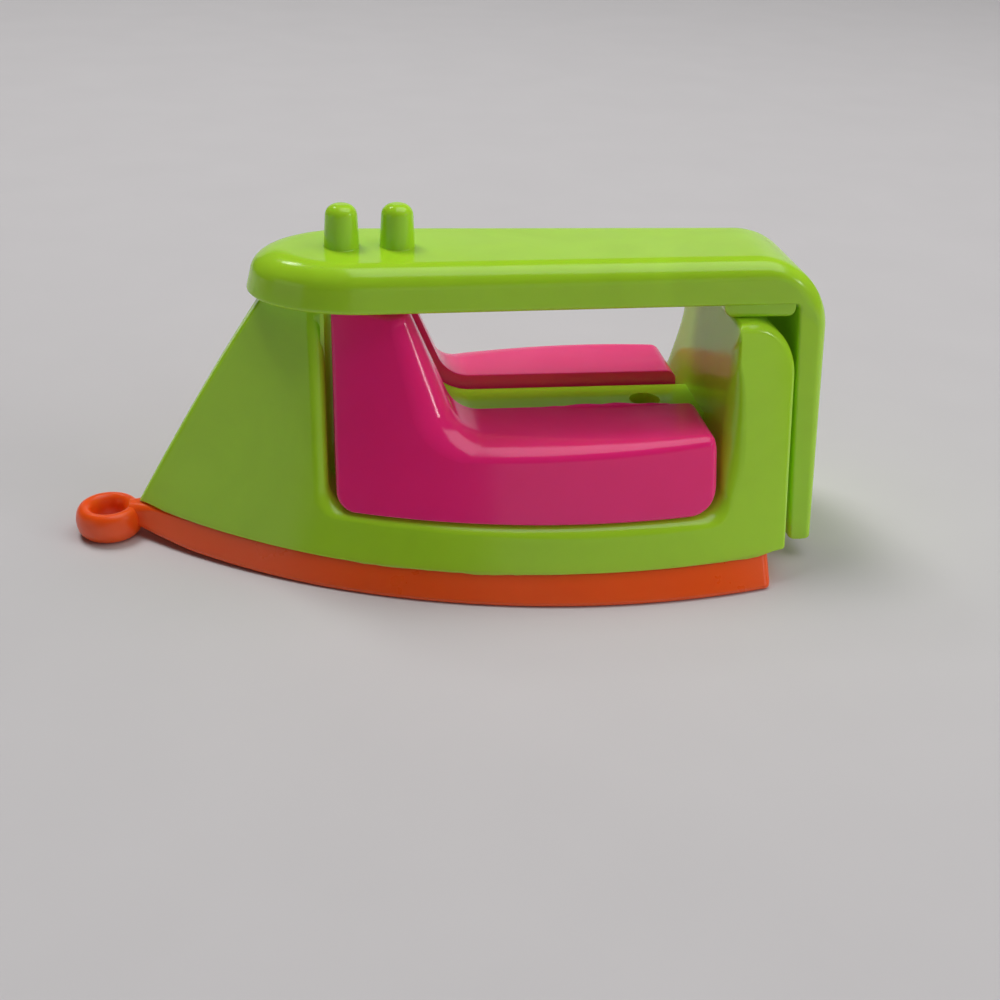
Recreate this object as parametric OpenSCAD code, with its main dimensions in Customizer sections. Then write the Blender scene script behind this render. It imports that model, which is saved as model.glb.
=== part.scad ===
// Take-apart toy iron: a key-ring charm of five push-fit plastic mouldings.
// The tip points along -X, the iron's left side lies at -Y and the sole stands on Z = 0.
// Both long sides are cones that lean inwards, so their cross-section is a pointed lens.

/* [Sole plate] */
// Greatest width of the sole's underside
sole_w = 29.8; // [27:0.1:33]
// Thickness of the sole plate
sole_thick = 2.4; // [1.9:0.1:3]
// Radius of each long side of the sole's underside
side_curve_r = 57.9; // [55:0.1:63]
// Place of the widest section along the length
widest_x = 13.2; // [11.5:0.1:15]
// Lean of the long sides, in degrees from upright
side_lean = 18.5; // [15:0.5:20]
// Distance of the sole's rear edge ahead of the body's rear face
sole_setback = 1.5; // [0.5:0.1:3]
// Diameter of the two pegs on top of the sole
peg_d = 2.4; // [1.6:0.1:3]
// Distance of the rear peg ahead of the rear wall
rear_peg_inset = 4; // [2.5:0.1:6]
// Distance of the front peg behind the sole's tip
front_peg_inset = 11; // [9:0.1:13]
// Height of the front peg above the sole
front_peg_h = 5; // [3:0.1:8]

/* [Eyelet] */
// Bore of the key-ring eyelet
eyelet_d = 2.6; // [2:0.1:3.2]
// Width of the rim round the bore
eyelet_rim = 1.4; // [1:0.1:1.8]
// Thickness of the eyelet
eyelet_thick = 2.3; // [1.7:0.1:2.8]
// Distance of the bore's axis ahead of the sole's tip
eyelet_reach = 1.7; // [1.2:0.1:2.2]
// Width of the neck between the eyelet and the sole
neck_w = 2.4; // [1.6:0.1:3]

/* [Body] */
// Height of the front post above the floor
post_h = 21; // [18:0.1:24]
// Place of the body's rear face along the length
body_rear_x = 27; // [25:0.1:29]
// Distance of the rear face's top behind its foot
rear_rake = 0.7; // [0:0.1:1]
// Thickness of the rear wall at its foot
rear_wall = 5.4; // [4.4:0.1:6.4]
// Radius of the rear wall's upper rear edge
wall_round = 2.6; // [1:0.1:3.4]
// Length of the side pockets
pocket_l = 31; // [28:0.1:33]
// Height of the floor rail under the pockets
rail_h = 3.5; // [2.5:0.1:4.5]
// Radius of the pockets' lower corners
pocket_r = 2.2; // [1:0.1:3]
// Width of the central web
web_w = 6.4; // [5.4:0.1:7.4]
// Drop of the web's top below the panels' arms
web_drop = 1.1; // [0.6:0.1:2]

/* [Side panels] */
// Height of the low arm at its inner edge
arm_h = 5.7; // [5:0.1:7]
// Outward fall of the arm's top, in degrees
arm_fall = 6; // [0:0.5:8]
// Length of the column's top
column_l = 5.9; // [5.4:0.1:7]
// Lean of the column's rear edge, in degrees from upright
column_lean = 24; // [15:1:30]
// Radius where the column runs into the arm
foot_r = 3; // [1:0.1:4]
// Radius of the arm's end corners
arm_end_r = 1.5; // [0.5:0.1:2.2]
// Gap ahead of the column
front_gap = 0.75; // [0.3:0.05:1]
// Gap behind the arm
rear_gap = 0.7; // [0.3:0.05:1]
// Gap under the panel
under_gap = 0.3; // [0.2:0.05:0.5]
// Gap between the column's top and the handle
column_gap = 0.4; // [0.2:0.05:0.8]
// Diameter of the pins on the panel's inner face
panel_pin_d = 2; // [1.4:0.1:2.6]
// Length of those pins past the web's side
panel_pin_l = 2; // [1:0.1:2.3]

/* [Handle] */
// Thickness of the handle bar
bar_t = 3.4; // [3:0.1:4.5]
// Width of the bar at the round nose
nose_w = 12.8; // [11:0.1:14]
// Length of the rounded nose
nose_l = 9; // [6:0.1:11]
// Width of the bar at the rear
bar_rear_w = 10.8; // [9:0.1:12]
// Distance of the nose ahead of the front pocket wall
nose_reach = 5.7; // [5.2:0.1:7]
// Rounding of the bar's top edges
bar_edge_r = 1.8; // [0.8:0.1:2.4]
// Outer radius of the rear bend
bend_r = 3.4; // [2:0.1:4]
// Gap between the rear wall and the heel plate
heel_gap = 0.3; // [0.2:0.1:1]
// Thickness of the heel plate at its root
heel_root_t = 2; // [1.7:0.1:2.4]
// Thickness of the heel plate at its tip
heel_tip_t = 1.4; // [1:0.1:1.6]
// Width of the heel plate at its tip
heel_tip_w = 17.6; // [12:0.1:20]
// Height of the heel's tip above the floor
heel_clear = 1.9; // [1:0.1:4]
// Thickness of the pad that seats on the rear wall
pad_t = 1.1; // [0.6:0.1:1.6]
// Diameter of the two pins under the handle
handle_pin_d = 2.2; // [1.6:0.1:2.6]
// Length of those pins below their seats
handle_pin_l = 4; // [2.5:0.1:5]

/* [Buttons] */
// Diameter of the two buttons at the bar's top
button_d = 2.9; // [2:0.1:3.4]
// Diameter of the buttons at their round tips
button_tip_d = 2.4; // [1.6:0.1:2.8]
// Height of the buttons
button_h = 3.3; // [2.4:0.1:4.5]
// Distance between the buttons
button_pitch = 4.3; // [3.8:0.1:5.5]
// Distance of the first button behind the nose
button_inset = 7.5; // [6.5:0.1:9]

/* [Fits] */
// Radial clearance of pegs and pins in their sockets
fit_gap = 0.1; // [0.05:0.01:0.15]
// Gap between faces that seat on each other
seat_gap = 0.05; // [0.02:0.01:0.1]
// Gap between the panels and the web's sides
web_gap = 0.2; // [0.1:0.05:0.3]
// Depth of the panels' outer faces behind the body's sides
panel_inset = 0.15; // [0:0.05:0.4]

/* [Hidden] */
lime = "#8FC52E";
pink = "#E0307A";
orange = "#E8622A";
// Facets of a full turn and of a corner arc
round_fn = 64;
hull_fn = 32;
arc_steps = 8;
// How far a cut passes the face it opens, and how deep a root sinks into its carrier
overrun = 1;
root_sink = 0.8;
// Socket depth past the end of its pin
socket_spare = 0.6;
// Height of the rear peg's end below the web's top
peg_recess = 0.9;
// Share of the rim's half width that stays straight in the eyelet's bore
bore_share = 0.6;
// Places of the pins on a panel: along the column's top, above the floor rail, along the arm
upper_pin_shares = [0.55, 0.42];
lower_pin_shares = [0.56, 0.5];
// Share of the wall's thickness between the handle's rear pin and the rear face
rear_pin_share = 0.45;
// Share of the column's length ahead of the handle's front pin
front_pin_share = 0.42;

side_axis_y = side_curve_r - sole_w / 2;
body_z = sole_thick + seat_gap;
floor_z = sole_thick + rail_h;
under_z = post_h + seat_gap;
top_z = under_z + bar_t;
wall_z = under_z - pad_t - seat_gap;
pocket_rear_x = body_rear_x - rear_wall;
pocket_front_x = pocket_rear_x - pocket_l;
panel_y = web_w / 2 + web_gap;
panel_front_x = pocket_front_x + front_gap;
panel_rear_x = pocket_rear_x - rear_gap;
panel_z = floor_z + under_gap;
arm_z = panel_z + arm_h;
column_z = under_z - column_gap;
column_x = panel_front_x + column_l;
web_z = arm_z - web_drop;
panel_h = column_z - panel_z;
nose_r = nose_w / 2;
nose_x = pocket_front_x - nose_reach;
wall_top_x = body_rear_x + rear_rake;
heel_in_x = wall_top_x + heel_gap;
heel_x = heel_in_x + heel_root_t;
tip_x = tip_at(0);
eyelet_x = tip_x - eyelet_reach;
eyelet_r = eyelet_d / 2 + eyelet_rim;
rear_peg_x = pocket_rear_x - rear_peg_inset;
front_peg_x = tip_x + front_peg_inset;
front_pin_x = pocket_front_x + front_pin_share * (column_l + front_gap);
rear_pin_x = body_rear_x - rear_pin_share * rear_wall;
upper_pin = [panel_front_x + upper_pin_shares[0] * column_l, panel_z + upper_pin_shares[1] * panel_h];
lower_pin = [panel_front_x + lower_pin_shares[0] * (panel_rear_x - panel_front_x),
             panel_z + lower_pin_shares[1] * (arm_h - web_drop)];

// Radius of the long sides at height z
function side_r(z) = side_curve_r - z * tan(side_lean);
// Place along the length where the two sides meet at height z
function tip_at(z) = widest_x - sqrt(pow(side_r(z), 2) - pow(side_axis_y, 2));
// Points on an arc about c, from angle a to angle b
function arc(c, r, a, b) =
    [for (i = [0:arc_steps]) c + r * [cos(a + (b - a) * i / arc_steps), sin(a + (b - a) * i / arc_steps)]];

// Carries an outline in X and Z across the iron, over a width w
module across(w) rotate([90, 0, 0]) linear_extrude(w, center = true) children();

// The lens between the two leaning sides, set in by an inset, from one height to another
module boat(low_z, high_z, inset = 0) intersection_for (side = [-1, 1])
    translate([widest_x, side * side_axis_y, low_z])
        cylinder(h = high_z - low_z, r1 = side_r(low_z) - inset, r2 = side_r(high_z) - inset, $fn = round_fn);

// Side view of the post, the floor rail and the rear wall
module body_outline() polygon(concat(
    [[tip_x, body_z], [tip_x, post_h], [pocket_front_x, post_h]],
    arc([pocket_front_x + pocket_r, floor_z + pocket_r], pocket_r, 180, 270),
    arc([pocket_rear_x - pocket_r, floor_z + pocket_r], pocket_r, 270, 360),
    [[pocket_rear_x, wall_z]],
    arc([wall_top_x - wall_round, wall_z - wall_round], wall_round, 90, 0),
    [[body_rear_x, body_z]]));

// Open space above an arm and behind a column, lowered and moved by the web's drop
module notch_outline(drop) {
    foot = foot_r + drop;
    edge_x = column_x - drop / cos(column_lean);
    low_z = arm_z - drop;
    foot_x = edge_x + (column_z - low_z - foot) * tan(column_lean) + foot / cos(column_lean);
    polygon(concat(
        [[body_rear_x + overrun, low_z], [body_rear_x + overrun, top_z],
         [edge_x - (top_z - column_z) * tan(column_lean), top_z]],
        arc([foot_x, low_z + foot], foot, 180 + column_lean, 270)));
}

// L-shaped web between the two panels
module web() difference() {
    across(web_w) polygon([
        [pocket_front_x - root_sink, floor_z - root_sink], [pocket_front_x - root_sink, post_h],
        [pocket_rear_x + root_sink, post_h],
        [pocket_rear_x + root_sink, floor_z - root_sink]]);
    across(web_w + overrun) notch_outline(web_drop);
}

// Upright socket that starts at z and runs up by h, or down where h is negative
module socket(x, z, d, h) translate([x, 0, min(z, z + h)])
    cylinder(h = abs(h), d = d + fit_gap + fit_gap, $fn = round_fn);

// Pins of a panel, or their sockets in the web, as cylinders across the iron
module panel_pins(side, d, near_y, far_y) for (place = [upper_pin, lower_pin])
    translate([place[0], side * near_y, place[1]]) rotate([-side * 90, 0, 0])
        cylinder(h = far_y - near_y, d = d, $fn = round_fn);

module body() color(lime) difference() {
    intersection() {
        boat(body_z, post_h);
        union() {
            across(sole_w) body_outline();
            web();
        }
    }
    socket(rear_peg_x, body_z - overrun, peg_d, web_z + overrun + overrun - body_z);
    socket(front_peg_x, body_z - overrun, peg_d, front_peg_h + socket_spare + overrun);
    socket(front_pin_x, post_h + overrun, handle_pin_d, -handle_pin_l - socket_spare - overrun);
    socket(rear_pin_x, wall_z + overrun, handle_pin_d, -handle_pin_l - socket_spare - overrun);
    for (side = [-1, 1])
        panel_pins(side, panel_pin_d + fit_gap + fit_gap,
                   web_w / 2 - panel_pin_l - fit_gap, web_w / 2 + overrun);
}

// Boat-shaped plate with a neck that ends at the eyelet's rim, and two pegs on top
module sole_plate() color(orange) {
    difference() {
        union() {
            intersection() {
                boat(0, sole_thick);
                translate([tip_x, -sole_w / 2, 0])
                    cube([body_rear_x - sole_setback - tip_x, sole_w, sole_thick]);
            }
            translate([eyelet_x, -neck_w / 2, 0])
                cube([eyelet_reach + neck_w, neck_w, eyelet_thick]);
        }
        translate([eyelet_x, 0, -overrun])
            cylinder(h = sole_thick + overrun + overrun, r = eyelet_r, $fn = round_fn);
    }
    translate([rear_peg_x, 0, sole_thick - root_sink])
        cylinder(h = web_z - peg_recess - sole_thick + root_sink, d = peg_d, $fn = round_fn);
    translate([front_peg_x, 0, sole_thick - root_sink])
        cylinder(h = front_peg_h + root_sink, d = peg_d, $fn = round_fn);
}

// Ring with round rims about a straight bore
module eyelet() color(orange) translate([eyelet_x, 0, 0]) {
    rim_r = min(eyelet_rim, eyelet_thick) / 2;
    lip_r = (1 - bore_share) * rim_r;
    in_r = eyelet_d / 2;
    rotate_extrude($fn = round_fn) polygon(concat(
        arc([in_r + lip_r, lip_r], lip_r, 180, 270),
        arc([eyelet_r - rim_r, rim_r], rim_r, 270, 360),
        arc([eyelet_r - rim_r, eyelet_thick - rim_r], rim_r, 0, 90),
        arc([in_r + lip_r, eyelet_thick - lip_r], lip_r, 90, 180)));
}

// Side view of a panel without its notch
module panel_outline() polygon(concat(
    [[panel_front_x, column_z]],
    arc([panel_front_x + pocket_r, panel_z + pocket_r], pocket_r, 180, 270),
    arc([panel_rear_x - arm_end_r, panel_z + arm_end_r], arm_end_r, 270, 360),
    [[panel_rear_x, column_z]]));

module panel(side) color(pink) {
    difference() {
        intersection() {
            boat(panel_z, column_z, panel_inset);
            across(sole_w) panel_outline();
            translate([panel_front_x, side > 0 ? panel_y : -panel_y - sole_w, panel_z])
                cube([panel_rear_x - panel_front_x, sole_w, panel_h]);
        }
        translate([0, side * panel_y, arm_z]) rotate([-side * arm_fall, 0, 0])
            translate([0, 0, -arm_z]) across(sole_w + sole_w) notch_outline(0);
    }
    panel_pins(side, panel_pin_d, web_w / 2 - panel_pin_l, panel_y + root_sink);
}

module left_panel() panel(-1);

module right_panel() panel(1);

// Side view of the bar's outside with its rear bend
module bar_outline() polygon(concat(
    [[nose_x, under_z], [nose_x, top_z]],
    arc([heel_x - bend_r, top_z - bend_r], bend_r, 90, 0),
    [[heel_x, under_z]]));

// Side view of the heel plate, which thins towards its tip
module heel_outline() polygon([
    [heel_x, under_z], [heel_x, heel_clear], [heel_x - heel_tip_t, heel_clear], [heel_in_x, under_z]]);

// Rear view of the heel plate
module heel_flare() polygon([
    [-bar_rear_w / 2, under_z], [bar_rear_w / 2, under_z],
    [heel_tip_w / 2, heel_clear], [-heel_tip_w / 2, heel_clear]]);

// Bar with a round nose and round top edges
module bar() intersection() {
    hull() {
        translate([nose_x + nose_l, 0, 0]) scale([nose_l / nose_r, 1, 1]) rotate_extrude($fn = round_fn) polygon(concat(
            [[0, under_z], [nose_r, under_z]],
            arc([nose_r - bar_edge_r, top_z - bar_edge_r], bar_edge_r, 0, 90),
            [[0, top_z]]));
        for (side = [-1, 1]) translate([heel_x - bar_edge_r, side * (bar_rear_w / 2 - bar_edge_r), 0]) {
            translate([0, 0, under_z]) cylinder(h = bar_t - bar_edge_r, r = bar_edge_r, $fn = hull_fn);
            translate([0, 0, top_z - bar_edge_r]) sphere(r = bar_edge_r, $fn = hull_fn);
        }
    }
    across(nose_w + overrun) bar_outline();
}

// Tapered button with a round tip, standing on the bar's top
module button() {
    tip_r = button_tip_d / 2;
    rotate_extrude($fn = hull_fn) polygon(concat(
        [[0, -root_sink], [button_d / 2, -root_sink], [button_d / 2, 0]],
        arc([0, button_h - tip_r], tip_r, 0, 90)));
}

module handle() color(lime) {
    bar();
    intersection() {
        across(heel_tip_w + nose_w) heel_outline();
        rotate([90, 0, 90]) linear_extrude(heel_x + overrun) heel_flare();
    }
    translate([pocket_rear_x, -bar_rear_w / 2, under_z - pad_t])
        cube([wall_top_x - pocket_rear_x, bar_rear_w, pad_t + root_sink]);
    for (i = [0, 1])
        translate([nose_x + button_inset + i * button_pitch, 0, top_z]) button();
    translate([front_pin_x, 0, under_z - handle_pin_l])
        cylinder(h = handle_pin_l + root_sink, d = handle_pin_d, $fn = round_fn);
    translate([rear_pin_x, 0, under_z - pad_t - handle_pin_l])
        cylinder(h = handle_pin_l + pad_t + root_sink, d = handle_pin_d, $fn = round_fn);
}

body();
sole_plate();
eyelet();
left_panel();
right_panel();
handle();
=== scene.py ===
"""Looks of a take-apart toy iron, built round its CAD frame.

The iron is five push-fit mouldings of neon polystyrene: a lime body and handle, two pink
side panels and an orange sole with a key-ring eyelet. Lengths are in metres, in the frame's
axes: -X points to the tip, -Y to the iron's left and Z up from the plane it stands on.
"""

import math

import bmesh
import bpy
import numpy as np
from bpy.props import FloatProperty, FloatVectorProperty, PointerProperty
from mathutils import Matrix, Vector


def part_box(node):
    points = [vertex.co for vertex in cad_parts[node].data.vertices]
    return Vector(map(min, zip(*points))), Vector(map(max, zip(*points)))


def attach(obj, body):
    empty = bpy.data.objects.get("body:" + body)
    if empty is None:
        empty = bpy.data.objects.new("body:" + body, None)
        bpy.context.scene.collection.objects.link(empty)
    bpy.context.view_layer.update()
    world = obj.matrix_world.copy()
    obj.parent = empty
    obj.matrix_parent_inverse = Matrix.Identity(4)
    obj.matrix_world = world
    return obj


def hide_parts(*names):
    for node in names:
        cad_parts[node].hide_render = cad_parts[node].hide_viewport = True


bl_info = {
    "name": "Take-apart toy iron",
    "version": (1, 0, 0),
    "blender": (4, 5, 0),
    "location": "3D View > Sidebar > Toy iron",
    "description": "Builds the five mouldings of a toy iron, its stage and its camera",
    "category": "Add Mesh",
}

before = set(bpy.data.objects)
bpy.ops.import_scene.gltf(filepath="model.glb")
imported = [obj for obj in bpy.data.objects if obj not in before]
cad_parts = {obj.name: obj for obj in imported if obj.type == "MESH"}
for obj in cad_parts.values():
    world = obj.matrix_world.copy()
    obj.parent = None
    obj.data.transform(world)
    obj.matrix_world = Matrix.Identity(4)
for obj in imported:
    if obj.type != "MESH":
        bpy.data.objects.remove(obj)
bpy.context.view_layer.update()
MM = 0.001


def extent(node):
    """Lowest and highest corner of a CAD node, as arrays."""
    low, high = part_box(node)
    return np.array(low), np.array(high)


BODY_LOW, BODY_HIGH = extent("body")
SOLE_LOW, SOLE_HIGH = extent("sole_plate")
EYELET_LOW, EYELET_HIGH = extent("eyelet")
PANEL_LOW, PANEL_HIGH = extent("left_panel")
HANDLE_LOW, HANDLE_HIGH = extent("handle")

# Gaps between stacked mouldings, between a panel and the web, and ahead of, behind and under a panel
SEAT_GAP = 0.05 * MM
PANEL_GAP = 0.2 * MM
FRONT_GAP = 0.55 * MM
REAR_GAP = 0.7 * MM
POCKET_DROP = 0.3 * MM
# Drop of the rear wall's top below the post's
WALL_DROP = 1.1 * MM

# Heights and places along the iron that several pieces share
FOOT_Z = BODY_LOW[2]
POST_Z = BODY_HIGH[2]
SOLE_TOP = FOOT_Z - SEAT_GAP
UNDER_Z = POST_Z + SEAT_GAP
FLOOR_Z = PANEL_LOW[2] - POCKET_DROP
POCKET_FRONT = PANEL_LOW[0] - FRONT_GAP
POCKET_REAR = PANEL_HIGH[0] + REAR_GAP
WALL_BACK = BODY_HIGH[0]
WALL_Z = POST_Z - WALL_DROP
EYELET_X = 0.5 * (EYELET_LOW[0] + EYELET_HIGH[0])

# Places of the hidden pegs and pins, and how far they and their sockets run past the faces they start from
REAR_PEG_X = POCKET_REAR - 4 * MM
FRONT_PEG_X = SOLE_LOW[0] + 10 * MM
FRONT_PIN_X = PANEL_LOW[0] + 2.05 * MM
REAR_PIN_X = WALL_BACK - 3.13 * MM
PANEL_PINS = ((PANEL_LOW[0] + 3.25 * MM, PANEL_LOW[2] + 6.07 * MM),
              (PANEL_LOW[0] + 16.55 * MM, PANEL_LOW[2] + 2.3 * MM))
PAST = 1 * MM
# Room that a socket leaves round its peg, in diameter
PLAY = 0.2 * MM

# Columns of a section: points on a rounded corner and along a side
ARC_COLUMNS = 9
SIDE_COLUMNS = 12
# Share of a side that the arcs at its two ends may take up
SIDE_SHARE = 0.96
# Share of a side over which the way it leaves its corner is measured, and the greatest cosine of a corner
LEAVING_SHARE = 0.02
FLAT_COSINE = 0.9999
# Distance below which points are one, and the least length that is divided by
WELD = 2e-8
TINY = 1e-12

# The toe's rise: its power of the way into the toe, and the greatest way, past the sole's tip
TOE_POWER = 1.5
TOE_END = 1.2

# Moulding flash: steps of its uneven crest, its longer stretches, depth of its root, length of its
# ends, least share of its height, share of its thickness that the crest loses, place of its middle
# behind the face it runs along, as a share of its thickness, and the seeds of its two kinds
FLASH_STEPS = (0.15 * MM, 1.1 * MM)
FLASH_STRETCHES = (2 * MM, 6 * MM)
FLASH_ROOT = 0.12 * MM
FLASH_FADE = 1.5 * MM
FLASH_LEAST = 0.4
FLASH_THINNING = 0.5
FLASH_SINK = 0.6
FOOT_FLASH_SEED = 7
ARM_FLASH_SEED = 17

# Angle between faces from which an edge is shaded as sharp
SHARP_ANGLE = math.radians(35)


def linear(hex_colour):
    """An sRGB hex colour as a linear RGB triple."""
    parts = np.array([int(hex_colour[i:i + 2], 16) for i in (1, 3, 5)]) / 255
    return tuple(np.where(parts <= 0.04045, parts / 12.92, ((parts + 0.055) / 1.055) ** 2.4))


def length(name, description, default):
    """A length property with its default in millimetres."""
    return FloatProperty(
        name=name, description=description, default=default * MM, unit="LENGTH", precision=5)


def angle(name, description, default):
    """An angle property with its default in degrees."""
    return FloatProperty(
        name=name, description=description, default=math.radians(default), subtype="ANGLE")


def colour(name, description, default):
    """A colour property with its default as sRGB hex."""
    return FloatVectorProperty(
        name=name, description=description, default=linear(default), subtype="COLOR", size=3, min=0, max=1)


class IronSideSizes(bpy.types.PropertyGroup):
    """Sizes of the two long sides, which all the mouldings follow."""

    curve_r: length("Side radius", "Radius of each long side at the body's foot", 53.8)
    foot_w: length("Foot width", "Greatest width of the body's foot", 28.3)
    widest_x: length("Widest place", "Place of the widest section along the length", 11.4)
    lean: angle("Side lean", "Lean of the long sides from upright", 18.5)
    toe_lift: length("Toe lift", "Rise of the tip off the plane it stands on", 0.5)
    toe_l: length("Toe length", "Length over which the toe rises", 16)
    rear_reach: length("Rear reach", "Reach of the rear faces behind the plain solids", 0.25)


class IronBodySizes(bpy.types.PropertyGroup):
    """Sizes of the lime body."""

    stem_foot_r: length("Stem edge at the foot", "Half width of the rounded front edge at the foot", 0.25)
    stem_top_r: length("Stem edge at the top", "Half width of the rounded front edge at the top", 0.8)
    pocket_r: length("Pocket corner", "Radius of the pockets' lower corners", 1.8)
    fillet_r: length("Pocket fillet", "Radius where the pockets' front meets the web", 0.45)
    rim_r: length("Pocket rim", "Rounding of the pockets' rims", 1.3)
    post_rim_r: length("Post rim", "Rounding of the post's rear edge", 0.9)
    wall_r: length("Wall top", "Radius of the rear wall's upper rear edge", 4.2)
    wall_edge_r: length("Wall edge", "Rounding of the rear wall's upright edges", 1.1)
    wall_lean: length("Wall lean", "Distance of the rear wall's front face behind its foot at the top", 1.2)
    rear_rake: length("Rear rake", "Distance of the rear face's top behind its foot", 0.7)
    web_w: length("Web width", "Width of the central web", 6.4)
    web_drop: length("Web drop", "Drop of the web's top below the panels' arms", 1.1)
    flash_h: length("Foot flash", "Greatest height of the flash along the foot", 0.3)


class IronSoleSizes(bpy.types.PropertyGroup):
    """Sizes of the orange sole plate and its eyelet."""

    curve_r: length("Underside radius", "Radius of each long side of the underside", 57.9)
    width: length("Underside width", "Greatest width of the underside", 30.7)
    widest_x: length("Underside widest place", "Place of the underside's widest section", 13.0)
    inset: length("Top inset", "Inset of the sole's top edge under the body", 0.12)
    edge_r: length("Lower edge", "Rounding of the lower edge", 0.28)
    neck_w: length("Neck width", "Width of the neck behind the eyelet", 1.7)
    toe_thin: length("Toe thinning", "Rise of the underside at the neck", 0.5)
    neck_r: length("Neck edge", "Rounding of the neck's upper edges", 0.8)
    bore_d: length("Eyelet bore", "Bore of the eyelet", 2.6)
    rim_w: length("Eyelet rim", "Width of the eyelet's rim", 1.4)
    rim_h: length("Eyelet height", "Height of the eyelet's rim", 2.55)
    peg_d: length("Peg", "Diameter of the two pegs", 2.4)


class IronPanelSizes(bpy.types.PropertyGroup):
    """Sizes of the two pink side panels."""

    arm_h: length("Arm height", "Height of the arm at its inner edge", 5.7)
    arm_fall: angle("Arm fall", "Outward fall of the arm's top", 1.5)
    column_l: length("Column length", "Length of the column's top", 5.9)
    column_lean: angle("Column lean", "Lean of the column's rear edge from upright", 24)
    foot_r: length("Column foot", "Radius where the column runs into the arm", 3.0)
    corner_r: length("Front corner", "Radius of the lower front corner", 1.3)
    end_r: length("Arm end", "Radius of the arm's lower end corner", 2.3)
    end_top_r: length("Arm end top", "Radius of the arm's upper end corner", 0.9)
    end_plan_r: length("Arm end plan", "Radius of the arm's outer end corner, seen from above", 0.7)
    rim_r: length("Outer rim", "Rounding of the outer rim above", 2.6)
    low_rim_r: length("Lower rim", "Rounding of the outer rim in front and below", 0.3)
    inset: length("Face inset", "Depth of the outer face behind the body's side", 0.15)
    pin_d: length("Panel pin", "Diameter of the pins on the inner face", 2.0)
    low_gap: length("Lower gap", "Gap between the panel and the pocket's floor", 0.06)
    flash_h: length("Arm flash", "Greatest height of the flash along the arm's inner edge", 0.3)


class IronHandleSizes(bpy.types.PropertyGroup):
    """Sizes of the lime handle."""

    bar_t: length("Bar thickness", "Thickness of the bar", 3.4)
    nose_w: length("Nose width", "Width of the bar at the nose", 12.8)
    nose_l: length("Nose length", "Length of the rounded nose", 9.0)
    rear_w: length("Rear width", "Width of the bar at the bend", 10.8)
    edge_r: length("Top edge", "Rounding of the bar's top edges", 1.9)
    side_draft: length("Side draft", "Distance by which each side of the bar leans in above", 0.25)
    nose_draft: length("Nose draft", "Distance by which the nose leans in above", 0.6)
    bend_r: length("Bend", "Outer radius of the rear bend", 6.0)
    heel_reach: length("Heel reach", "Reach of the heel plate behind the plain solid", 0.8)
    heel_lean: length("Heel lean", "Distance of the heel plate's tip ahead of its root", 0.25)
    heel_drop: length("Heel drop", "Reach of the heel plate's tip below the plain solid", 0.25)
    heel_root_t: length("Heel root", "Thickness of the heel plate at its root", 2.75)
    heel_tip_t: length("Heel tip", "Thickness of the heel plate at its tip", 1.9)
    pad_t: length("Pad", "Thickness of the pad on the rear wall", 1.1)
    pad_lip: length("Pad lip", "Reach of the pad ahead of the rear wall", 0.9)
    button_d: length("Button foot", "Diameter of the buttons at the bar's top", 2.75)
    button_tip_d: length("Button tip", "Diameter of the buttons at their round tips", 2.5)
    button_pitch: length("Button pitch", "Distance between the buttons", 4.3)
    button_inset: length("Button place", "Distance of the first button behind the nose", 7.5)
    pin_d: length("Handle pin", "Diameter of the two pins under the handle", 2.2)


class IronColours(bpy.types.PropertyGroup):
    """Colours of the three plastics and of the floor."""

    lime: colour("Lime", "Neon lime polystyrene of the body and the handle", "#ADDE2C")
    pink: colour("Pink", "Hot pink polystyrene of the side panels", "#FF2A80")
    orange: colour("Orange", "Neon orange polystyrene of the sole", "#FC5A12")
    floor: colour("Floor", "Matt card under the iron", "#CBC8C9")


def sizes(group):
    """The scene's property group of that name."""
    return getattr(bpy.context.scene, "iron_" + group)


# Curves in the XZ plane


def straight(start, end):
    """Two ends of a straight stretch."""
    return np.array([start, end], float)


def bend(centre, radius, first, last, count=25):
    """Points on an arc about a centre, from one angle in degrees to another."""
    turn = np.radians(np.linspace(first, last, count))
    return np.array(centre) + radius * np.column_stack([np.cos(turn), np.sin(turn)])


def spread(points, count):
    """Points at even steps along a polyline."""
    steps = np.linalg.norm(np.diff(points, axis=0), axis=1)
    along = np.concatenate([[0], np.cumsum(steps)])
    even = np.linspace(0, along[-1], count)
    return np.column_stack([np.interp(even, along, points[:, k]) for k in (0, 1)])


def paired(stages, first):
    """Two curves that run side by side through the same number of points.

    Each stage is (outer curve, inner curve, count, values), and both curves are spread over
    count points. The values run in straight lines from those of the stage before, or from
    first, so they come back as one array with a column for each.
    """
    outer, inner, values = [], [], []
    for outside, inside, count, last in stages:
        share = np.linspace(0, 1, count)[:, None]
        keep = slice(1 if outer else 0, None)
        outer.append(spread(outside, count)[keep])
        inner.append(spread(inside, count)[keep])
        values.append(((1 - share) * first + share * np.array(last, float))[keep])
        first = np.array(last, float)
    return np.concatenate(outer), np.concatenate(inner), np.concatenate(values)


def across(curve, y):
    """A curve in X and Z with its places across the iron."""
    return np.column_stack([curve[:, 0], np.broadcast_to(y, len(curve)), curve[:, 1]])


# Surfaces


def unit(vectors):
    """Vectors scaled to a length of one, where they have any length."""
    return vectors / np.maximum(np.linalg.norm(vectors, axis=-1, keepdims=True), TINY)


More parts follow.
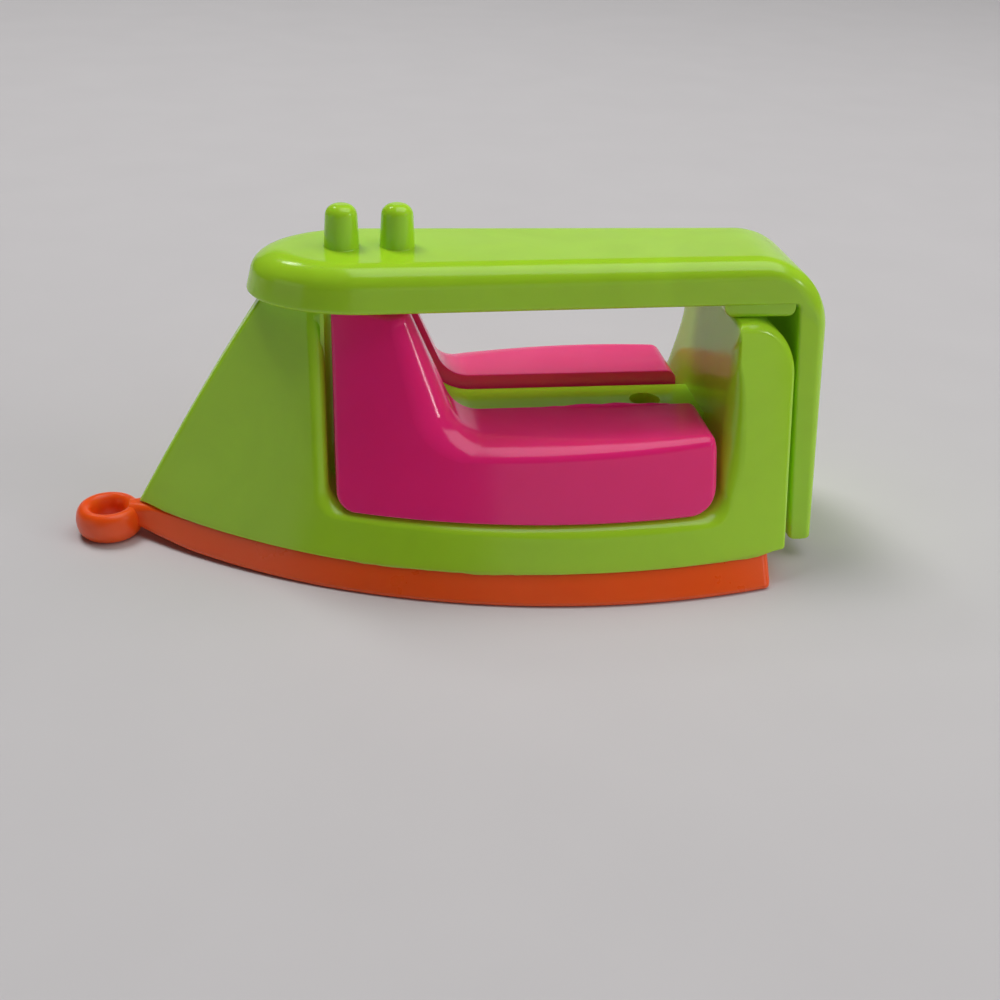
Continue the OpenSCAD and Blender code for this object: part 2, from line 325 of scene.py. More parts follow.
def rounded_sections(corners, radii, faces=(None, None, None, None)):
    """Closed four-cornered sections with rounded corners, as rows of points.

    corners holds the four corners of each section, (4, rows, 3), and radii their rounding,
    (4, rows). Side k runs from corner k to the next one, straight or, where faces[k] is given,
    on the face whose y is that function of x and z. A corner's arc touches both its sides: its
    centre lies on their bisector at r / sin(half the corner), it starts r / tan(half the corner)
    along each side, and the points between turn evenly from one to the other. Two arcs that
    don't fit on the side between them both shrink.
    """
    corners = np.asarray(corners, float)
    spans = np.linalg.norm(np.roll(corners, -1, axis=0) - corners, axis=2)

    def leaving(start, end, face):
        step = start + LEAVING_SHARE * (end - start)
        if face:
            step[:, 1] = face(step[:, 0], step[:, 2])
        return unit(step - start)

    ahead = [leaving(corners[k], corners[(k + 1) % 4], faces[k]) for k in range(4)]
    behind = [leaving(corners[k], corners[k - 1], faces[k - 1]) for k in range(4)]
    cosines = [np.clip((ahead[k] * behind[k]).sum(axis=1), -FLAT_COSINE, FLAT_COSINE) for k in range(4)]
    halves = [0.5 * np.arccos(cosine) for cosine in cosines]
    wanted = np.array([radii[k] / np.tan(halves[k]) for k in range(4)])
    room = SIDE_SHARE * spans / np.maximum(wanted + np.roll(wanted, -1, axis=0), TINY)
    reaches = wanted * np.minimum(1, np.minimum(room, np.roll(room, 1, axis=0)))

    arcs = []
    share = np.linspace(0, 1, ARC_COLUMNS)[None, :, None]
    for k in range(4):
        reach, half = reaches[k], halves[k]
        centre = corners[k] + unit(ahead[k] + behind[k]) * (reach / np.cos(half))[:, None]
        start = (corners[k] + behind[k] * reach[:, None] - centre)[:, None]
        end = (corners[k] + ahead[k] * reach[:, None] - centre)[:, None]
        turn = (math.pi - 2 * half)[:, None, None]
        swept = np.sin((1 - share) * turn) * start + np.sin(share * turn) * end
        arcs.append(centre[:, None] + swept / np.sin(turn))

    parts = []
    inside = 0.5 - 0.5 * np.cos(np.pi * np.arange(1, SIDE_COLUMNS + 1) / (SIDE_COLUMNS + 1))[None, :]
    for k in range(4):
        start, end = arcs[k][:, -1:], arcs[(k + 1) % 4][:, :1]
        side = (1 - inside[..., None]) * start + inside[..., None] * end
        if faces[k]:
            off_start = start[..., 1] - faces[k](start[..., 0], start[..., 2])
            off_end = end[..., 1] - faces[k](end[..., 0], end[..., 2])
            side[..., 1] = faces[k](side[..., 0], side[..., 2]) + (1 - inside) * off_start + inside * off_end
        parts += [arcs[k], side]
    return np.concatenate(parts, axis=1)


def mirrored_sections(outer, outer_y, inner, inner_y, rounds, faces=(None, None, None, None)):
    """Rounded sections, alike on the left and the right, between an outer and an inner curve.

    outer_y and inner_y are the curves' half widths, and the two columns of rounds are the
    rounding of the outer and of the inner corners.
    """
    corners = (across(outer, -outer_y), across(outer, outer_y),
               across(inner, inner_y), across(inner, -inner_y))
    return rounded_sections(corners, rounds[:, [0, 0, 1, 1]].T, faces)


def turned(profile, centre, count=48):
    """A profile of (radius, height) points turned about an axis: every point goes round a circle."""
    turn = np.linspace(0, 2 * np.pi, count, endpoint=False)[:, None]
    radius, height = profile[None, :, 0], profile[None, :, 1]
    return np.stack([centre[0] + radius * np.cos(turn), centre[1] + radius * np.sin(turn),
                     centre[2] + height + 0 * turn], axis=2)


def grid_solid(name, points, wrap_rows=False, wrap_columns=True):
    """An object whose mesh covers a grid of points, with seams and poles welded and faces outwards."""
    rows, columns = points.shape[:2]
    place = np.arange(rows * columns).reshape(rows, columns)
    if wrap_rows:
        place = np.concatenate([place, place[:1]])
    if wrap_columns:
        place = np.concatenate([place, place[:, :1]], axis=1)
    quads = np.stack([place[:-1, :-1], place[1:, :-1], place[1:, 1:], place[:-1, 1:]], axis=2)
    mesh = bpy.data.meshes.new(name)
    mesh.from_pydata(points.reshape(-1, 3), [], quads.reshape(-1, 4))
    work = bmesh.new()
    work.from_mesh(mesh)
    bmesh.ops.remove_doubles(work, verts=work.verts, dist=WELD)
    bmesh.ops.recalc_face_normals(work, faces=work.faces)
    work.to_mesh(mesh)
    work.free()
    piece = bpy.data.objects.new(name, mesh)
    bpy.context.scene.collection.objects.link(piece)
    return piece


def combined(base, parts, operation):
    """Joins the parts to a solid or cuts them from it, and keeps the result as its mesh."""
    for part in parts:
        step = base.modifiers.new(operation.title(), "BOOLEAN")
        step.operation = operation
        step.solver = "MANIFOLD"
        step.object = part
    seen = base.evaluated_get(bpy.context.evaluated_depsgraph_get())
    whole = bpy.data.meshes.new_from_object(seen)
    base.modifiers.clear()
    base.data = whole
    for part in parts:
        bpy.data.objects.remove(part)
    if not len(whole.polygons):
        raise RuntimeError(f"{base.name} lost its mesh when its parts were combined")
    return base


def finished(piece, body, material, nodes):
    """Shades a piece, gives it its plastic and seats it in the frame."""
    piece.data.shade_smooth()
    piece.data.set_sharp_from_angle(angle=SHARP_ANGLE)
    piece.data.materials.clear()
    piece.data.materials.append(material)
    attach(piece, body)
    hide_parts(*nodes)


# Shapes that several pieces share


def side_y(x, z, inset=0.0):
    """Half width of the iron: each side is an upright cone, so an arc whose radius shrinks with height."""
    s = sizes("sides")
    radius = s.curve_r - (z - FOOT_Z) * math.tan(s.lean) - inset
    axis_y = s.curve_r - 0.5 * s.foot_w
    return np.sqrt(np.maximum(radius ** 2 - (x - s.widest_x) ** 2, axis_y ** 2)) - axis_y


def stem_x(z, half):
    """Place along the length where the iron is twice half wide at height z."""
    s = sizes("sides")
    radius = s.curve_r - (z - FOOT_Z) * math.tan(s.lean)
    axis_y = s.curve_r - 0.5 * s.foot_w
    return s.widest_x - np.sqrt(radius ** 2 - (axis_y + half) ** 2)


def lifted(points):
    """Points with the toe raised: the rise grows with a power of the way into the toe and fades upwards."""
    s = sizes("sides")
    tip_x = SOLE_LOW[0]
    way = np.clip((tip_x + s.toe_l - points[..., 0]) / s.toe_l, 0, TOE_END)
    fade = np.clip((POST_Z - points[..., 2]) / POST_Z, 0, 1)
    raised = points.copy()
    raised[..., 2] += s.toe_lift * way ** TOE_POWER * fade
    return raised


def peg(name, x, low, high, diameter, tip_r=0.25 * MM):
    """An upright peg with rounded rims: a straight profile with an arc at each end, turned about an axis."""
    r = 0.5 * diameter
    profile = np.concatenate([
        [[0, low]], bend([r - tip_r, low + tip_r], tip_r, -90, 0, 6),
        bend([r - tip_r, high - tip_r], tip_r, 0, 90, 6), [[0, high]]])
    return grid_solid(name, turned(profile, (x, 0, 0)), wrap_rows=True, wrap_columns=False)


def cross_peg(name, place, start, end, diameter):
    """A peg that lies across the iron, between two places in Y."""
    piece = peg(name, 0, min(start, end), max(start, end), diameter)
    laid = Matrix.Rotation(math.radians(-90), 4, "X")
    piece.data.transform(Matrix.Translation((place[0], 0, place[1])) @ laid)
    return piece


def ragged(places, seed):
    """An uneven line along some places, from 0 to 1.

    Seeded heights at uneven steps are joined by straight lines, and swell and die away in
    longer stretches.
    """
    chance = np.random.default_rng(seed)
    fine = np.cumsum(chance.uniform(*FLASH_STEPS, 2 + int(places[-1] / FLASH_STEPS[0])))
    long = np.cumsum(chance.uniform(*FLASH_STRETCHES, 2 + int(places[-1] / FLASH_STRETCHES[0])))
    swell = np.interp(places, long, chance.uniform(0, 1, len(long)) ** 2)
    jagged = np.interp(places, fine, chance.uniform(0, 1, len(fine)))
    return swell * (FLASH_LEAST + (1 - FLASH_LEAST) * jagged)


def flash(name, path, stand, thick, height, seed):
    """Moulding flash: a thin ribbon whose section is carried along an edge and whose height is uneven.

    path is the edge, stand the way the ribbon stands off it and thick the vector through it. At
    both ends the ribbon's crest comes down to its root, so the surface closes.
    """
    along = np.concatenate([[0], np.cumsum(np.linalg.norm(np.diff(path, axis=0), axis=1))])
    fade = np.minimum(1, np.minimum(along, along[-1] - along) / FLASH_FADE)
    root = path - FLASH_ROOT * stand
    crest = root + (fade * (FLASH_ROOT + height * ragged(along, seed)))[:, None] * stand
    half = 0.5 * thick
    thin = (1 - FLASH_THINNING * fade)[:, None] * half
    sections = np.stack([crest - thin, crest + thin, root + half, root - half], axis=1)
    return grid_solid(name, sections)


def notch_edge(drop):
    """Open side of the L in side view, as its parts, moved inwards by a drop.

    They are the upper end of the column's leaning rear edge, the arc at its foot and the
    height of the arm's top.
    """
    p = sizes("panels")
    foot_r = p.foot_r + drop
    edge_x = PANEL_LOW[0] + p.column_l - drop / math.cos(p.column_lean)
    low_z = PANEL_LOW[2] + p.arm_h - drop
    top_z = PANEL_HIGH[2]
    rise = math.tan(p.column_lean)
    foot_x = edge_x + (top_z - low_z - foot_r) * rise + foot_r / math.cos(p.column_lean)
    foot = bend([foot_x, low_z + foot_r], foot_r, 180 + math.degrees(p.column_lean), 270)
    return np.array([edge_x, top_z]), foot, low_z


def web_top():
    """Height of the web's top."""
    return notch_edge(sizes("body").web_drop)[2]


def panel_inner_y():
    """Half the distance between the panels' inner faces."""
    return 0.5 * sizes("body").web_w + PANEL_GAP


# Pieces


def body_shell():
    """Post, floor rail and rear wall: a section carried along a U, from its outer to its inner curve."""
    b = sizes("body")
    rim, post_rim, edge = b.rim_r, b.post_rim_r, b.wall_edge_r
    start_r, post_r, stem_r, fine, top_r, foot_r = np.array([0.3, 0.5, 0.9, 0.12, 0.4, 0.2]) * MM
    post_drop, nose_l, foot_l, wall_rise = np.array([0.6, 7, 4, 0.5]) * MM
    foot_share = 0.3
    stem_rows = 60

    back_x = WALL_BACK + sizes("sides").rear_reach
    rear_x = back_x - b.rear_rake
    heights = np.linspace(POST_Z, FOOT_Z, stem_rows)
    half = np.linspace(b.stem_top_r, b.stem_foot_r, stem_rows)
    stem = np.column_stack([stem_x(heights, half), heights])
    nose_end = stem[-1] + [nose_l, 0]
    foot_corner = np.concatenate([
        straight([rear_x - foot_l, FOOT_Z], [rear_x - foot_r, FOOT_Z]),
        bend([rear_x - foot_r, FOOT_Z + foot_r], foot_r, -90, 0, 7)])
    wall_high = WALL_Z - b.wall_r
    wall_foot_x = rear_x + wall_rise * b.rear_rake / (WALL_Z - FOOT_Z)
    wall_back = straight([wall_foot_x, FOOT_Z + wall_rise], [back_x, wall_high])
    wall_top = bend([back_x - b.wall_r, wall_high], b.wall_r, 0, 90)
    front_x = POCKET_REAR + b.wall_lean
    wall_front = np.concatenate([
        straight([back_x - b.wall_r, WALL_Z], [front_x + top_r, WALL_Z]),
        bend([front_x + top_r, WALL_Z - top_r], top_r, 90, 180, 7)])

    post_top, post_low = [POCKET_FRONT, POST_Z], [POCKET_FRONT, POST_Z - post_drop]
    corner_z = FLOOR_Z + b.pocket_r
    front_mid, rear_mid = POCKET_FRONT + b.pocket_r, POCKET_REAR - b.pocket_r
    wall_inside = spread(straight([POCKET_REAR, corner_z], [front_x, WALL_Z - top_r]), 4)
    stages = (
        (straight(post_top, stem[0]), straight(post_top, post_low), 10, (post_r, post_rim)),
        (stem, straight(post_low, [POCKET_FRONT, corner_z]), 70, (stem_r, post_rim)),
        (straight(stem[-1], nose_end), bend([front_mid, corner_z], b.pocket_r, 180, 270), 28, (fine, rim)),
        (straight(nose_end, foot_corner[0]), straight([front_mid, FLOOR_Z], [rear_mid, FLOOR_Z]), 70,
         (fine, rim)),
        (foot_corner, bend([rear_mid, corner_z], b.pocket_r, 270, 360), 28, (foot_share * edge, rim)),
        (wall_back, wall_inside[:2], 40, (edge, rim)),
        (wall_top, wall_inside[1:3], 24, (edge, rim)),
        (wall_front, wall_inside[2:], 24, (top_r, rim)),
    )
    outer, inner, rounds = paired(stages, (start_r, post_rim))
    outer_y, inner_y = side_y(outer[:, 0], outer[:, 1]), side_y(inner[:, 0], inner[:, 1])
    faces = (None, side_y, None, lambda x, z: -side_y(x, z))
    sections = mirrored_sections(outer, outer_y, inner, inner_y, rounds, faces)
    return grid_solid("body_moulding", lifted(sections))


def body_web():
    """L-shaped web between the panels: a section carried from the column's top down and along the arm."""
    b = sizes("body")
    sink, soft, shoulder, tail, hidden = np.array([0.8, 0.3, 3, 1, 0.1]) * MM
    edge, foot, low_z = notch_edge(b.web_drop)
    front, rear, floor = POCKET_FRONT - sink, POCKET_REAR + sink, FLOOR_Z - sink
    brow, chest = [edge[0], POST_Z], [front, POST_Z - shoulder]
    heel, tail_end = [foot[-1, 0], floor], [rear, low_z - tail]
    stages = (
        (straight([front, POST_Z], brow), straight([front, POST_Z], chest), 12, (soft, 0)),
        (straight(brow, foot[0]), straight(chest, [front, floor]), 30, (soft, 0)),
        (foot, straight([front, floor], heel), 20, (soft, 0)),
        (straight(foot[-1], [rear, low_z]), straight(heel, [rear, floor]), 40, (soft, 0)),
        (straight([rear, low_z], tail_end), straight([rear, floor], tail_end), 6, (0, 0)),
    )
    top, root, rounds = paired(stages, (0, 0))
    y_top = np.minimum(0.5 * b.web_w, side_y(top[:, 0], top[:, 1]) - hidden)
    y_root = np.minimum(0.5 * b.web_w, side_y(root[:, 0], root[:, 1]) - hidden)
    return grid_solid("web", mirrored_sections(top, y_top, root, y_root, rounds))


def corner_fillet(side):
    """Fillet where a pocket's front meets the web: a hollow quarter circle carried up the corner."""
    b = sizes("body")
    sink = 0.3 * MM
    web_y = 0.5 * b.web_w
    hollow = bend([POCKET_FRONT + b.fillet_r, -web_y - b.fillet_r], b.fillet_r, 180, 90, 13)
    deep_x, deep_y = POCKET_FRONT - sink, sink - web_y
    ring = np.concatenate([hollow, [[hollow[-1, 0], deep_y], [deep_x, deep_y], [deep_x, hollow[0, 1]]]])
    middle = ring.mean(axis=0)
    full = np.array([0, 1, 1, 0])[:, None, None]
    rows = middle + full * (ring - middle)
    levels = np.array([FLOOR_Z, FLOOR_Z, POST_Z, POST_Z])[:, None] - sink
    points = np.stack([rows[..., 0], -side * rows[..., 1], levels + 0 * rows[..., 0]], axis=2)
    return grid_solid(f"corner_fillet_{side}", points)


def foot_flash(side):
    """Flash along one side of the body's foot: it hangs over the sole's edge, in line with the side."""
    b, s = sizes("body"), sizes("sides")
    thick, tip_half, rear_gap = np.array([0.09, 1, 1.5]) * MM
    x = np.linspace(stem_x(FOOT_Z, tip_half), WALL_BACK - rear_gap, 700)
    path = np.column_stack([x, side * (side_y(x, FOOT_Z) - FLASH_SINK * thick), 0 * x + FOOT_Z])
    stand = np.array([0, side * math.sin(s.lean), -math.cos(s.lean)]) + 0 * path
    through = np.array([0, side * thick, 0])
    return flash(f"foot_flash_{side}", lifted(path), stand, through, b.flash_h, FOOT_FLASH_SEED + side)


def make_body():
    """The body with its web and the sockets that its pegs and pins push into."""
    b, p, s, h = sizes("body"), sizes("panels"), sizes("sole"), sizes("handle")
    pin_depth, peg_depth, pin_end = np.array([4.6, 5.6, 1.1]) * MM
    body = combined(body_shell(), [body_web(), corner_fillet(-1), corner_fillet(1)], "UNION")
    body = combined(body, [foot_flash(-1), foot_flash(1)], "UNION")
    sockets = [
        peg("socket_rear_peg", REAR_PEG_X, FOOT_Z - PAST, web_top() + PAST, s.peg_d + PLAY),
        peg("socket_front_peg", FRONT_PEG_X, FOOT_Z - PAST, FOOT_Z + peg_depth, s.peg_d + PLAY),
        peg("socket_front_pin", FRONT_PIN_X, POST_Z - pin_depth, POST_Z + PAST, h.pin_d + PLAY),
        peg("socket_rear_pin", REAR_PIN_X, WALL_Z - pin_depth, WALL_Z + PAST, h.pin_d + PLAY)]
    for n, place in enumerate(PANEL_PINS):
        for side in (-1, 1):
            start, end = side * pin_end, side * (0.5 * b.web_w + PAST)
            sockets.append(cross_peg(f"socket_panel_{n}_{side}", place, start, end, p.pin_d + PLAY))
    return combined(body, sockets, "DIFFERENCE")


def sole_sections():
    """Sole plate: sections across the iron carried from the neck to the rear edge.

    The half width runs in height from the underside's own arc to the body's foot, never under
    the neck's, and closes over a quarter circle at the rear corners.
    """
    s = sizes("sole")
    neck_start, neck_drop, knee_l, toe_l = np.array([1.75, 0.1, 2, 5]) * MM
    corner_r, flare, fine = np.array([0.7, 0.5, 0.1]) * MM
    knee_share = 0.45
    low_r, top_r = s.edge_r, 0.5 * s.edge_r
    rear_x = SOLE_HIGH[0] + sizes("sides").rear_reach
    neck_x = EYELET_X + neck_start
    toe_x = neck_x + toe_l
    mid_z = 0.5 * SOLE_TOP

    def half_width(x, z):
        low = np.sqrt(np.maximum(s.curve_r ** 2 - (x - s.widest_x) ** 2, 0)) - s.curve_r + 0.5 * s.width
        high = side_y(x, FOOT_Z) - s.inset
        share = np.clip(z / SOLE_TOP, 0, 1)
        plate = (1 - share) * low + share * high
        neck = 0.5 * s.neck_w
        widened = 0.5 * (plate + neck + np.sqrt((plate - neck) ** 2 + flare ** 2))
        into = np.clip((x - rear_x + corner_r) / corner_r, 0, 1)
        return widened - corner_r * (1 - np.sqrt(1 - into ** 2))

    low_rear = np.concatenate([
        straight([rear_x - corner_r, 0], [rear_x - low_r, 0]),
        bend([rear_x - low_r, low_r], low_r, -90, 0, 7), [[rear_x, mid_z]]])
    top_rear = np.concatenate([
        straight([rear_x - corner_r, SOLE_TOP], [rear_x - top_r, SOLE_TOP]),
        bend([rear_x - top_r, SOLE_TOP - top_r], top_r, 90, 0, 7), [[rear_x, mid_z]]])
    neck_mid, neck_low, neck_top = [neck_x, mid_z], [neck_x, s.toe_thin], [neck_x, SOLE_TOP - neck_drop]
    toe = np.array([neck_low, [neck_x + knee_l, knee_share * s.toe_thin], [toe_x, 0]])
    stages = (
        (straight(neck_mid, neck_low), straight(neck_mid, neck_top), 8, (low_r, s.neck_r)),
        (toe, straight(neck_top, [toe_x, SOLE_TOP]), 40, (low_r, top_r)),
        (straight([toe_x, 0], low_rear[0]), straight([toe_x, SOLE_TOP], top_rear[0]), 90, (low_r, top_r)),
        (low_rear, top_rear, 40, (fine, fine)),
    )
    low, high, rounds = paired(stages, (fine, fine))
    y_low, y_high = half_width(low[:, 0], low[:, 1]), half_width(high[:, 0], high[:, 1])
    return mirrored_sections(low, y_low, high, y_high, rounds)


def eyelet_profile():
    """Section of the eyelet: an ellipse with its ends a little flattened, from the bore to the outside."""
    s = sizes("sole")
    floor_gap = 0.02 * MM
    squared = 0.95
    turn = np.linspace(0, 2 * np.pi, 40, endpoint=False)
    wide, tall = np.cos(turn), np.sin(turn)
    radius = 0.5 * (s.bore_d + s.rim_w) + 0.5 * s.rim_w * np.sign(wide) * np.abs(wide) ** squared
    height = floor_gap + 0.5 * s.rim_h + 0.5 * s.rim_h * np.sign(tall) * np.abs(tall) ** squared
    return np.column_stack([radius, height])


def make_sole():
    """The sole plate with its eyelet and its two pegs."""
    peg_d = sizes("sole").peg_d
    root_z, recess, front_peg_h = np.array([1, 0.9, 5]) * MM
    plate = grid_solid("sole_moulding", lifted(sole_sections()))
    ring = turned(eyelet_profile(), (EYELET_X, 0, 0), 72)
    parts = [grid_solid("eyelet_ring", ring, wrap_rows=True),
             peg("rear_peg", REAR_PEG_X, root_z, web_top() - recess, peg_d),
             peg("front_peg", FRONT_PEG_X, root_z, SOLE_TOP + front_peg_h, peg_d)]
    return combined(plate, parts, "UNION")


def panel_sections(side):
    """Side panel: sections between its lower and upper edge, carried from the column's top to the arm's end.

    The outer face lies on the iron's side, the inner face is flat and the arm's top falls
    outwards. The rim above is full at the column and its foot and narrower at both ends.
    """
    p = sizes("panels")
    rim, low_rim = p.rim_r, p.low_rim_r
    top_share, turn_share, arm_share, end_share = 0.4, 0.6, 0.45, 0.4
    top_r, start_r, inner_r, least_w = np.array([0.5, 0.1, 0.08, 0.3]) * MM
    brow, neck, knee = np.array([2, 3, 6]) * MM
    inner_y = panel_inner_y()
    x0, x1 = PANEL_LOW[0], PANEL_HIGH[0] + sizes("sides").rear_reach
    z0, z1 = FLOOR_Z + p.low_gap, PANEL_HIGH[2]
    edge, foot, arm_z = notch_edge(0)
    end_mid = [x1, 0.5 * (z0 + arm_z)]

    top_back = edge[0] - top_r * math.tan(0.5 * (0.5 * math.pi - p.column_lean))
    top_turn = bend([top_back, z1 - top_r], top_r, 90, math.degrees(p.column_lean), 9)
    end_high = bend([x1 - p.end_top_r, arm_z - p.end_top_r], p.end_top_r, 90, 0)
    front_low = np.concatenate([
        straight([x0, z0 + knee], [x0, z0 + p.corner_r]),
        bend([x0 + p.corner_r, z0 + p.corner_r], p.corner_r, 180, 270)])
    end_low = bend([x1 - p.end_r, z0 + p.end_r], p.end_r, 270, 360)
    stages = (
        (straight([x0, z1], [x0, z1 - brow]), straight([x0, z1], top_turn[0]), 16,
         (low_rim, top_share * rim, 0)),
        (straight([x0, z1 - brow], [x0, z1 - neck]), top_turn, 8, (low_rim, turn_share * rim, 0)),
        (straight([x0, z1 - neck], [x0, z0 + knee]), straight(top_turn[-1], foot[0]), 40,
         (low_rim, rim, 1)),
        (front_low, foot, 36, (low_rim, rim, 1)),
        (straight(front_low[-1], end_low[0]), straight(foot[-1], end_high[0]), 70,
         (low_rim, arm_share * rim, 0)),
        (end_low, end_high, 20, (low_rim, end_share * rim, 0)),
        (straight(end_low[-1], end_mid), straight(end_high[-1], end_mid), 12,
         (end_share * rim, end_share * rim, 0)),
    )
    low, high, values = paired(stages, (start_r, start_r, 0))
    high_out = high.copy()
    high_depth = side_y(high[:, 0], high[:, 1], p.inset) - inner_y
    high_out[:, 1] -= math.tan(p.arm_fall) * high_depth * values[:, 2]

    def outer_face(x, z):
        into = np.clip((x - x1) / p.end_plan_r + 1, 0, 1)
        cut = p.end_plan_r * (1 - np.sqrt(1 - into ** 2))
        return side * np.maximum(side_y(x, z, p.inset) - cut, inner_y + least_w)

    corners = (across(low, side * inner_y), across(low, outer_face(low[:, 0], low[:, 1])),
               across(high_out, outer_face(high_out[:, 0], high_out[:, 1])), across(high, side * inner_y))
    fine = np.full(len(high), inner_r)
    radii = (fine, values[:, 0], values[:, 1], fine)
    return rounded_sections(corners, radii, (None, outer_face, None, None))


def arm_flash(name, side):
    """Flash along the inner edge of an arm's top: it stands up in line with the inner face."""
    p = sizes("panels")
    thick, lead = np.array([0.12, 0.3]) * MM
    _, foot, arm_z = notch_edge(0)
    x = np.linspace(foot[-1, 0] - lead, PANEL_HIGH[0] - p.end_top_r, 400)
    path = np.column_stack([x, 0 * x + side * (panel_inner_y() + FLASH_SINK * thick), 0 * x + arm_z])
    stand = np.array([0, 0, 1]) + 0 * path
    return flash(name + "_flash", path, stand, np.array([0, thick, 0]), p.flash_h, ARM_FLASH_SEED + side)


def make_panel(name, side):
    """One side panel with its flash and the two pins on its inner face."""
    web_y = 0.5 * sizes("body").web_w
    pin_l, pin_root = np.array([2, 1.2]) * MM
    start, end = side * (web_y - pin_l), side * (web_y + pin_root)
    panel = grid_solid(name, panel_sections(side))
    pins = [cross_peg(f"{name}_pin_{n}", place, start, end, sizes("panels").pin_d)
            for n, place in enumerate(PANEL_PINS)]
    return combined(panel, pins + [arm_flash(name, side)], "UNION")


def handle_sections():
    """Handle: a rounded bar section carried back, round the bend and down the flared heel plate.

    Ahead of the bar's first section the same section turns about an upright axis to the
    middle, stretched along the length, which gives the round nose.
    """
    h = sizes("handle")
    fillet, tip_r, low_r, heel_r, flare = np.array([0.5, 0.2, 0.3, 0.5, 0.1]) * MM
    bend_share = 0.7
    nose_turn, nose_rows = (90, 4), 26
    top_z = UNDER_Z + h.bar_t
    nose_x = HANDLE_LOW[0] + h.nose_l
    heel_x = HANDLE_HIGH[0] + h.heel_reach
    heel_in = heel_x - h.heel_root_t
    bend_x, bend_z = heel_x - h.bend_r, top_z - h.bend_r
    inner_x, inner_z = heel_in - fillet, UNDER_Z - fillet
    tip_out = heel_x - h.heel_lean
    tip_in = tip_out - h.heel_tip_t
    tip_z = HANDLE_LOW[2] - h.heel_drop
    heel_low = tip_z + tip_r
    tip_mid = [0.5 * (tip_out + tip_in), tip_z]
    outer_tip = np.concatenate([bend([tip_out - tip_r, heel_low], tip_r, 0, -90, 9), [tip_mid]])
    inner_tip = np.concatenate([bend([tip_in + tip_r, heel_low], tip_r, 180, 270, 9), [tip_mid]])
    half_nose, half_rear, half_tip = 0.5 * h.nose_w, 0.5 * h.rear_w, HANDLE_HIGH[1]
    stages = (
        (straight([nose_x, top_z], [bend_x, top_z]), straight([nose_x, UNDER_Z], [inner_x, UNDER_Z]), 60,
         (half_rear + flare, h.edge_r, low_r, h.side_draft)),
        (bend([bend_x, bend_z], h.bend_r, 90, 0), bend([inner_x, inner_z], fillet, 90, 0), 28,
         (half_rear, bend_share * h.edge_r, low_r, 0)),
        (straight([heel_x, bend_z], [tip_out, heel_low]),
         straight([heel_in, inner_z], [tip_in, heel_low]), 60, (half_tip - flare, heel_r, low_r, 0)),
        (outer_tip, inner_tip, 12, (half_tip, tip_r, tip_r, 0)),
    )
    outer, inner, values = paired(stages, (half_nose, h.edge_r, low_r, h.nose_draft))
    half, upper = values[:, 0], values[:, 0] - values[:, 3]
    bar = mirrored_sections(outer, upper, inner, half, values[:, 1:3])
    first = bar[0]
    swing = np.radians(np.linspace(*nose_turn, nose_rows))[:, None]
    reach = h.nose_l / half_nose
    nose = np.stack([first[:, 0] - reach * np.abs(first[:, 1]) * np.sin(swing),
                     first[:, 1] * np.cos(swing), first[:, 2] + 0 * swing], axis=2)
    return np.concatenate([nose, bar])


def button_profile():
    """Button: a small hollow fillet at the foot, a tapered side and a round tip."""
    h = sizes("handle")
    root, fillet, sink, round_r = np.array([0.8, 0.15, 0.04, 0.9]) * MM
    draft = 5
    foot_r, tip_r = 0.5 * h.button_d, 0.5 * h.button_tip_d
    top = HANDLE_HIGH[2] - UNDER_Z - h.bar_t
    return np.concatenate([
        [[0, -root], [foot_r + fillet, -root]],
        bend([foot_r + fillet, fillet - sink], fillet, 270, 180 + draft, 9),
        bend([tip_r - round_r, top - round_r], round_r, draft, 90, 15), [[0, top]]])


def seat_pad():
    """Pad under the bar's rear end: a rounded block as a section carried backwards."""
    h = sizes("handle")
    root, soft, land, fine = np.array([0.6, 0.45, 0.1, 0.05]) * MM
    blend = h.pad_t - land
    low, high = UNDER_Z - h.pad_t, UNDER_Z + root
    front, rear = POCKET_REAR + sizes("body").wall_lean - h.pad_lip, WALL_BACK
    front_mid, rear_mid = [front, 0.5 * (low + high)], [rear, 0.5 * (low + high)]
    lip = np.concatenate([[front_mid], bend([front + blend, low + blend], blend, 180, 270, 9)])
    back = np.concatenate([bend([rear - soft, low + soft], soft, 270, 360, 7), [rear_mid]])
    stages = (
        (lip, straight(front_mid, [front, high]), 12, (soft, 0)),
        (straight(lip[-1], back[0]), straight([front, high], [rear, high]), 12, (soft, 0)),
        (back, straight([rear, high], rear_mid), 10, (soft, 0)),
    )
    under, over, rounds = paired(stages, (fine, 0))
    y = 0.5 * h.rear_w - fine
    return grid_solid("seat_pad", mirrored_sections(under, y, over, y, rounds))


def make_handle():
    """The handle with its pad, its two buttons and its two pins."""
    h = sizes("handle")
    pin_l = 4 * MM
    handle = grid_solid("handle_moulding", handle_sections())
    parts = [seat_pad()]
    for n in range(2):
        x = HANDLE_LOW[0] + h.button_inset + n * h.button_pitch
        button = turned(button_profile(), (x, 0, UNDER_Z + h.bar_t))
        parts.append(grid_solid(f"button_{n}", button, wrap_rows=True, wrap_columns=False))
    parts.append(peg("front_pin", FRONT_PIN_X, UNDER_Z - pin_l, UNDER_Z + PAST, h.pin_d))
    parts.append(peg("rear_pin", REAR_PIN_X, UNDER_Z - h.pad_t - pin_l, UNDER_Z + PAST, h.pin_d))
    return combined(handle, parts, "UNION")


# Materials
# Painted glow of each neon plastic (an emission in its own colour that needs no lamp and lifts its shaded
# faces), its least and greatest roughness, and how far light runs in it
NEON = {
    "lime": (0.02, 0.14, 0.24, 1.2 * MM),
    "pink": (0.03, 0.12, 0.22, 2 * MM),
    "orange": (0.02, 0.26, 0.4, 1.2 * MM),
}
